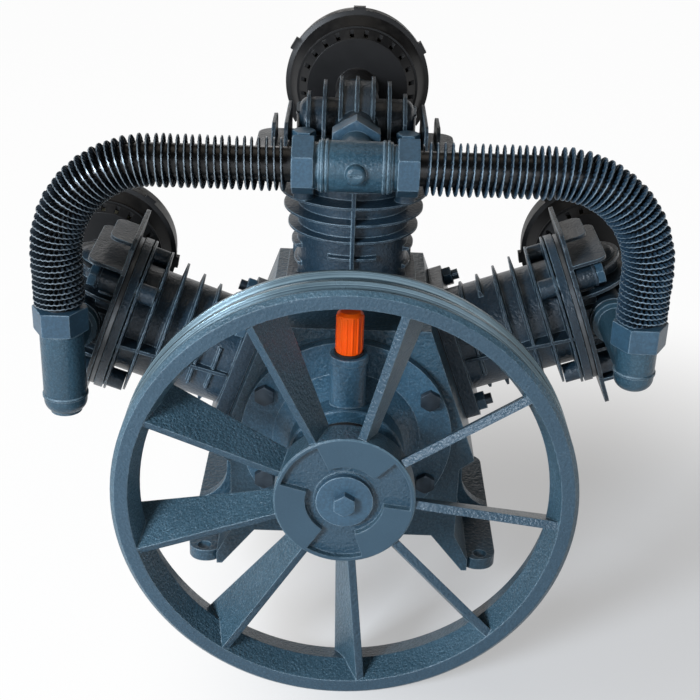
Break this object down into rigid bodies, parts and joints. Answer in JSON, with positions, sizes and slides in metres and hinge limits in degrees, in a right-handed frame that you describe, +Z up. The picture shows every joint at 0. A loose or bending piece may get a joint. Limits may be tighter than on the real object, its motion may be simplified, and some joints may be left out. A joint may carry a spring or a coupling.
{
  "type": "air compressor pump head",
  "caption": "Belt-driven W-type air compressor pump head: finned cylinders on a footed crankcase, fan-bladed flywheel, finned delivery pipes and intake filters.",
  "frame": {"origin": "centre of the mounting hole pattern on the underside of the feet, under the centre cylinder", "axes": "+Z up along the centre cylinder, -Y along the crank towards the flywheel, +X to the right seen from the flywheel"},
  "size_m": [0.5004, 0.326, 0.4127],
  "materials": {
    "case_paint": "gloss paint over a sand casting",
    "cover_paint": "gloss paint over a sand casting",
    "cylinder_paint": "gloss paint over a sand casting",
    "head_paint": "semi-gloss paint over a casting",
    "wheel_paint": "thick gloss paint over a rough casting",
    "fitting_paint": "gloss paint",
    "nut_paint": "satin paint",
    "bolt_steel": "plated",
    "bright_steel": "ground",
    "plate_steel": "ground",
    "dark_iron": "machined",
    "piston_aluminium": "machined casting",
    "gasket": "matte",
    "black_rubber": "matte",
    "left_tube_finish": "black finish, bright fin edges",
    "right_tube_finish": "blue-black finish, bright fin edges",
    "filter_plastic": "satin moulding",
    "filter_paper": "pleated paper",
    "plug_plastic": "satin moulding",
    "sight_glass": "clear"
  },
  "bodies": {
    "pump": {"crankcase": "case_paint", "front_cover": "cover_paint", "rear_cover": "cover_paint", "cover_gaskets": "gasket", "cover_bolts": "bolt_steel", "oil_seal": "black_rubber", "bearing_outer_rings": "bright_steel", "sight_glass": "sight_glass", "sight_glass_ring": "bright_steel", "drain_plug": "bolt_steel", "left_cylinder": "cylinder_paint", "centre_cylinder": "cylinder_paint", "right_cylinder": "cylinder_paint", "base_gaskets": "gasket", "base_studs": "bolt_steel", "base_nuts": "nut_paint", "left_valve_plate": "plate_steel", "centre_valve_plate": "plate_steel", "right_valve_plate": "plate_steel", "head_gaskets": "gasket", "reed_valves": "bright_steel", "left_head": "head_paint", "centre_head": "head_paint", "right_head": "head_paint", "head_bolts": "nut_paint", "head_washers": "bolt_steel", "left_piston": "piston_aluminium", "centre_piston": "piston_aluminium", "right_piston": "piston_aluminium", "piston_rings": "dark_iron", "wrist_pins": "bright_steel", "left_conrod": "piston_aluminium", "centre_conrod": "piston_aluminium", "right_conrod": "piston_aluminium", "crankpin": "bright_steel", "delivery_tee": "fitting_paint", "port_nut": "nut_paint", "upper_tube_nuts": "nut_paint", "lower_tube_nuts": "nut_paint", "left_tube": "left_tube_finish", "right_tube": "right_tube_finish", "left_elbow": "fitting_paint", "right_elbow": "fitting_paint", "left_filter_base": "filter_plastic", "centre_filter_base": "filter_plastic", "right_filter_base": "filter_plastic", "filter_elements": "filter_paper", "left_filter_cover": "filter_plastic", "centre_filter_cover": "filter_plastic", "right_filter_cover": "filter_plastic"},
    "crank": {"crankshaft": "bright_steel", "crank_key": "bolt_steel", "flywheel": "wheel_paint", "flywheel_washer": "nut_paint", "flywheel_bolt": "nut_paint", "bearing_inner_rings": "bright_steel", "bearing_balls": "bright_steel", "bearing_cages": "dark_iron"},
    "plug": {"filler_plug": "plug_plastic", "plug_ring": "black_rubber"}
  },
  "joints": [
    {"name": "crank_spin", "type": "hinge", "parent": "pump", "child": "crank", "pos_m": [0, 0, 0.114], "axis": [0, 1, 0], "continuous": true},
    {"name": "filler_plug_pull", "type": "slide", "parent": "pump", "child": "plug", "axis": [0, 0, 1], "range_m": [0, 0.016]}
  ]
}
